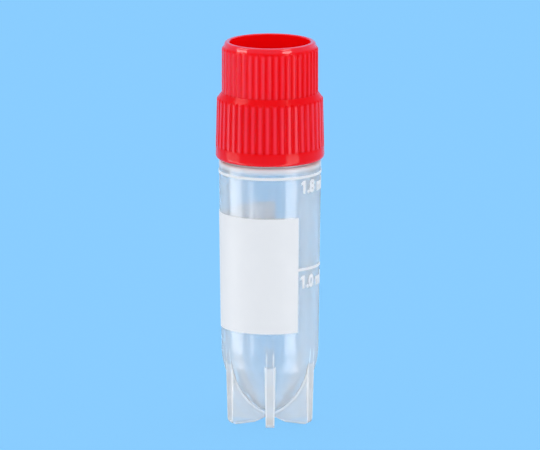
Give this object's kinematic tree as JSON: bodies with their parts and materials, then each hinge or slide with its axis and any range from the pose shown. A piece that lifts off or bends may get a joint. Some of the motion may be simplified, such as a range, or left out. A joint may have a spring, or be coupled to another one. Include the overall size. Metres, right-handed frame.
{
  "type": "cryovial",
  "caption": "Self-standing cryogenic storage tube with a rounded bottom, a star-shaped foot and a writing field, closed by a fluted two-tier screw cap with a deep well.",
  "frame": {"origin": "where the tube's axis meets the surface that the star foot stands on", "axes": "+Z along the tube's axis, from the foot to the cap; -Y is the front, where one fin of the foot points"},
  "size_m": [0.0132, 0.0132, 0.047],
  "materials": {
    "tube_plastic": "translucent natural polypropylene, clear enough to see the far wall",
    "cap_plastic": "glossy red polypropylene",
    "seal_silicone": "translucent white silicone"
  },
  "bodies": {
    "tube": {"tube": "tube_plastic"},
    "seal": {"seal_ring": "seal_silicone"},
    "cap": {"screw_cap": "cap_plastic"}
  },
  "joints": [
    {"name": "cap_lift", "type": "slide", "parent": "tube", "child": "seal", "axis": [0, 0, 1], "range_m": [0, 0.014]},
    {"name": "cap_turn", "type": "hinge", "parent": "seal", "child": "cap", "pos_m": [0, 0, 0.0403], "axis": [0, 0, 1], "range_deg": [0, 1260]}
  ],
  "couplings": [
    {"joint": "cap_turn", "follows": "cap_lift", "rad_per_m": 1570.8}
  ]
}
